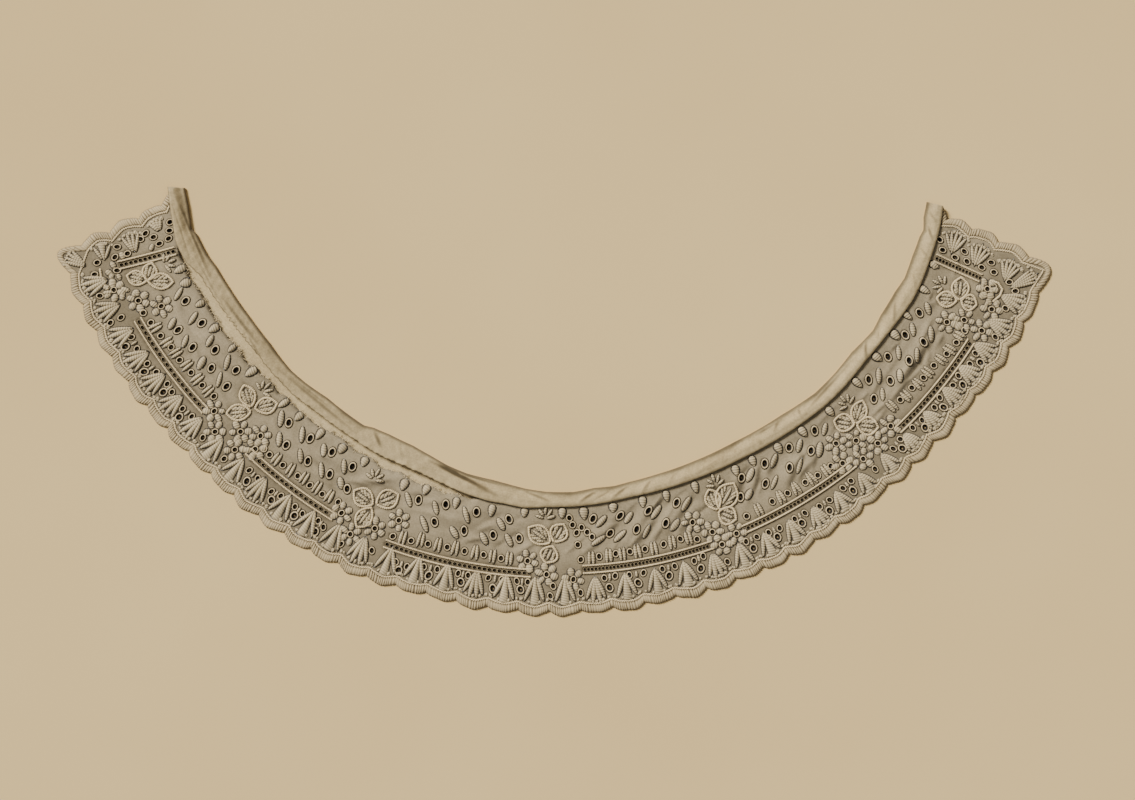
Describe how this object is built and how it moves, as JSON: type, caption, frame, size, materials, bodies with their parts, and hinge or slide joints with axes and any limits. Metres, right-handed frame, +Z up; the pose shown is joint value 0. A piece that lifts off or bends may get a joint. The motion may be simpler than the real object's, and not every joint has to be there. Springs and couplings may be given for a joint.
{
  "type": "embroidered linen collar",
  "caption": "Shallow curved collar of fine linen laid flat, whitework eyelets, leaves and trefoils over a scalloped edge, with a folded neckband partly unstitched",
  "frame": {"origin": "middle of the collar's footprint, on the surface it lies on", "axes": "+X from the wearer's one front end to the other as seen in the picture (to the right), +Y from the scalloped lower edge towards the neck opening's mouth, +Z up off the surface"},
  "size_m": [0.372, 0.1608, 0.004],
  "materials": {
    "ecru_linen": "matt fine linen, yellowed, with soft satin-stitched thread",
    "band_linen": "matt plain-woven linen tape, pale ecru, softly creased"
  },
  "bodies": {
    "root": {"collar_panel": "ecru_linen", "neckband": "band_linen"}
  },
  "joints": []
}
